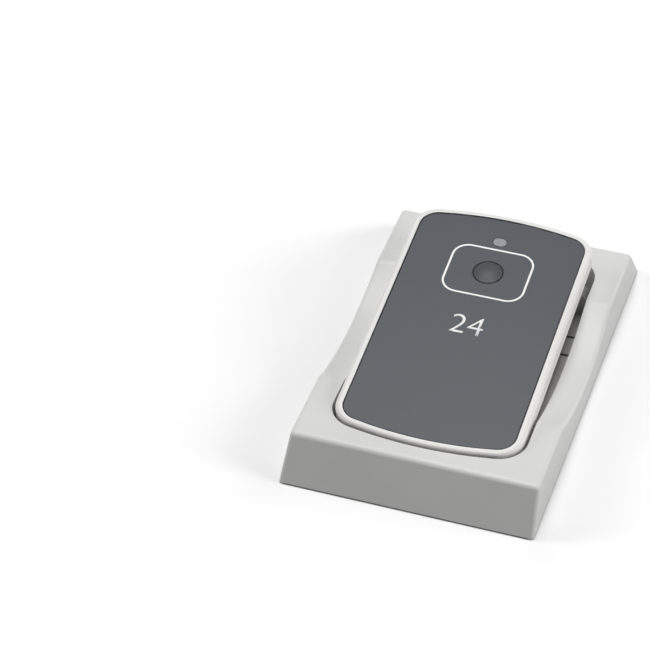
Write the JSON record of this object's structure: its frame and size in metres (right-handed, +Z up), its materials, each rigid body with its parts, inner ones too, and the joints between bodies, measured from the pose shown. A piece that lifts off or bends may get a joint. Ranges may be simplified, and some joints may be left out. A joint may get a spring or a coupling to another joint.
{
  "type": "waiter call button",
  "caption": "Flat rectangular call unit with a round key and a small indicator window, lying in a low sloping table stand with finger dips at its sides.",
  "frame": {"origin": "on the table, under the middle of the stand", "axes": "+X to the right as the guest sees it, +Y to the rear, where the unit's face rises, +Z up"},
  "size_m": [0.0806, 0.1334, 0.0264],
  "materials": {
    "case_plastic": "satin light grey moulding",
    "face_plastic": "slate grey sheet, fine texture",
    "key_plastic": "slate grey, satin",
    "lens_plastic": "milky translucent",
    "stand_plastic": "satin light grey moulding",
    "tape": "black foam tape",
    "rubber": "matt black",
    "steel": "nickel plated",
    "board": "green solder mask",
    "black_plastic": "black moulding",
    "lamp_plastic": "clear yellowish",
    "brass": "gold plated"
  },
  "bodies": {
    "stand": {"stand_shell": "stand_plastic", "foot_front_left": "rubber", "foot_front_right": "rubber", "foot_rear_left": "rubber", "foot_rear_right": "rubber"},
    "call_unit": {"front_case": "case_plastic", "face_sheet": "face_plastic", "face_tape": "tape", "indicator_lens": "lens_plastic", "rear_case": "case_plastic", "coin_cell": "steel", "cell_contact_negative": "steel", "cell_contact_positive": "steel", "circuit_board": "board", "switch_base": "black_plastic", "switch_dome": "steel", "switch_cover": "steel", "indicator_led": "lamp_plastic", "transmitter_can": "steel", "crystal": "steel", "reservoir_capacitor": "black_plastic", "antenna_loop": "brass", "microcontroller": "black_plastic", "chip_parts": "black_plastic", "case_screws": "steel", "board_screws": "steel"},
    "call_key": {"call_key": "key_plastic"},
    "switch_plunger": {"switch_plunger": "black_plastic"},
    "battery_lid": {"battery_lid": "case_plastic", "lid_seal": "rubber"}
  },
  "joints": [
    {"name": "unit_lift", "type": "slide", "parent": "stand", "child": "call_unit", "axis": [0, -0.1219, 0.9925], "range_m": [0, 0.03]},
    {"name": "key_press", "type": "slide", "parent": "call_unit", "child": "call_key", "axis": [0, 0.1219, -0.9925], "range_m": [0, 0.00035], "stiffness_N_per_m": 1500, "springref_m": -0.0003},
    {"name": "plunger_press", "type": "slide", "parent": "call_unit", "child": "switch_plunger", "axis": [0, 0.1219, -0.9925], "range_m": [0, 0.00035]},
    {"name": "lid_turn", "type": "hinge", "parent": "call_unit", "child": "battery_lid", "pos_m": [0, -0.01956, 0.00585], "axis": [0, -0.1219, 0.9925], "range_deg": [0, 60]}
  ],
  "couplings": [
    {"joint": "plunger_press", "follows": "key_press", "ratio": 1}
  ]
}
